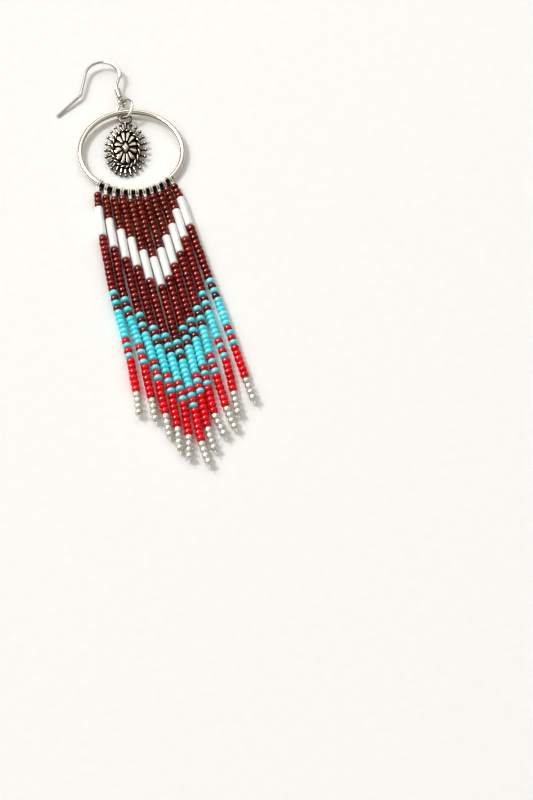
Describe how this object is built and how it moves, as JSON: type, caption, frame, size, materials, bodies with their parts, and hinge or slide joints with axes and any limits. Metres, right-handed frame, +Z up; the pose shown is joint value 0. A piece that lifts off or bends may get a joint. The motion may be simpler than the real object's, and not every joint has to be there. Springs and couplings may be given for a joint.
{
  "type": "beaded fringe drop earring",
  "caption": "Long drop earring lying flat: a fish-hook ear wire carries a round metal hoop with a cast oval charm inside and a long tapered fringe of seed and bugle bead strands below.",
  "frame": {"origin": "middle of the outline on the surface the earring lies on", "axes": "+Z up from the surface, +Y up the length of the earring toward the ear wire, +X across it to the right"},
  "size_m": [0.0338, 0.1496, 0.0049],
  "materials": {
    "silver_plate": "polished silver plate",
    "antique_silver": "cast, darkened in the recesses and rubbed bright on top",
    "beading_thread": "waxed white thread",
    "white_glass": "opaque milky white glass, glossy",
    "bead_glass": "opaque glossy glass, in rust, burgundy, turquoise and red"
  },
  "bodies": {
    "root": {"ear_wire": "silver_plate", "ear_wire_coil": "silver_plate", "jump_ring": "silver_plate", "hoop": "silver_plate", "charm": "antique_silver", "thread_loops": "beading_thread", "bugle_01": "white_glass", "bugle_02": "white_glass", "bugle_03": "white_glass", "bugle_04": "white_glass", "bugle_05": "white_glass", "bugle_06": "white_glass", "bugle_07": "white_glass", "bugle_08": "white_glass", "bugle_09": "white_glass", "bugle_10": "white_glass", "bugle_11": "white_glass", "strand_01": "bead_glass", "strand_02": "bead_glass", "strand_03": "bead_glass", "strand_04": "bead_glass", "strand_05": "bead_glass", "strand_06": "bead_glass", "strand_07": "bead_glass", "strand_08": "bead_glass", "strand_09": "bead_glass", "strand_10": "bead_glass", "strand_11": "bead_glass"}
  },
  "joints": []
}
